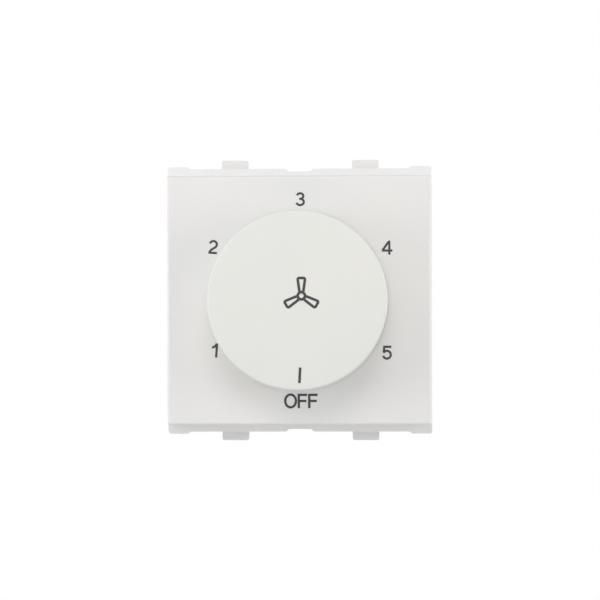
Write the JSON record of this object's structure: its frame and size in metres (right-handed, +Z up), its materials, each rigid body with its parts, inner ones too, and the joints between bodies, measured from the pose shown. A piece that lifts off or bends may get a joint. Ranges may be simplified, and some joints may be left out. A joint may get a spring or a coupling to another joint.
{
  "type": "fan speed control switch",
  "caption": "Square snap-in wall module with a round rotary knob that sets a fan's speed in steps from OFF, with a closed case and screw terminals behind.",
  "frame": {"origin": "on the knob's axis, in the plane of the rim's rear face, where the module seats on its mounting grid", "axes": "+X to the right as seen from the room, +Z up, the front faces -Y, so +Y points into the wall"},
  "size_m": [0.0452, 0.041, 0.0486],
  "materials": {
    "white_cover": "satin moulded polycarbonate, neutral white",
    "white_knob": "satin moulded polycarbonate, neutral white",
    "white_case": "fine matt moulded case, neutral white",
    "ivory_nylon": "natural moulded nylon",
    "black_nylon": "black moulded nylon, D-shaft and star wheel",
    "spring_steel": "bright spring steel strip",
    "bronze": "phosphor bronze strip",
    "silver_contact": "silver-faced contact rivets and ring",
    "board": "phenolic paper board",
    "capacitor_case": "blue moulded box, epoxy filled, tinned leads",
    "resistor_body": "lacquered film resistor, tinned leads",
    "terminal_brass": "machined brass",
    "plated_steel": "zinc plated screws"
  },
  "bodies": {
    "case": {"front_plate": "white_cover", "housing": "white_case", "switch_carrier": "ivory_nylon", "detent_spring": "spring_steel", "contact_stud_1": "silver_contact", "contact_stud_2": "silver_contact", "contact_stud_3": "silver_contact", "contact_stud_4": "silver_contact", "contact_stud_5": "silver_contact", "common_ring": "silver_contact", "circuit_board": "board", "speed_capacitor_large": "capacitor_case", "speed_capacitor_small": "capacitor_case", "series_resistor_1": "resistor_body", "series_resistor_2": "resistor_body", "bleed_resistor_1": "resistor_body", "bleed_resistor_2": "resistor_body", "line_terminal": "terminal_brass", "load_terminal": "terminal_brass", "carrier_screws": "plated_steel", "board_screws": "plated_steel"},
    "knob_turn_set": {"knob": "white_knob", "knob_spring_clip": "spring_steel", "rotor": "black_nylon", "wiper_contact": "bronze"},
    "line_screw": {"line_terminal_screw": "plated_steel"},
    "load_screw": {"load_terminal_screw": "plated_steel"}
  },
  "joints": [
    {"name": "knob_turn", "type": "hinge", "parent": "case", "child": "knob_turn_set", "pos_m": [0, 0, 0], "axis": [0, 1, 0], "range_deg": [0, 300], "deforming": ["detent_spring"]},
    {"name": "line_screw_clamp", "type": "slide", "parent": "case", "child": "line_screw", "axis": [0, 1, 0], "range_m": [-0.0022, 0]},
    {"name": "load_screw_clamp", "type": "slide", "parent": "case", "child": "load_screw", "axis": [0, 1, 0], "range_m": [-0.0022, 0]}
  ]
}
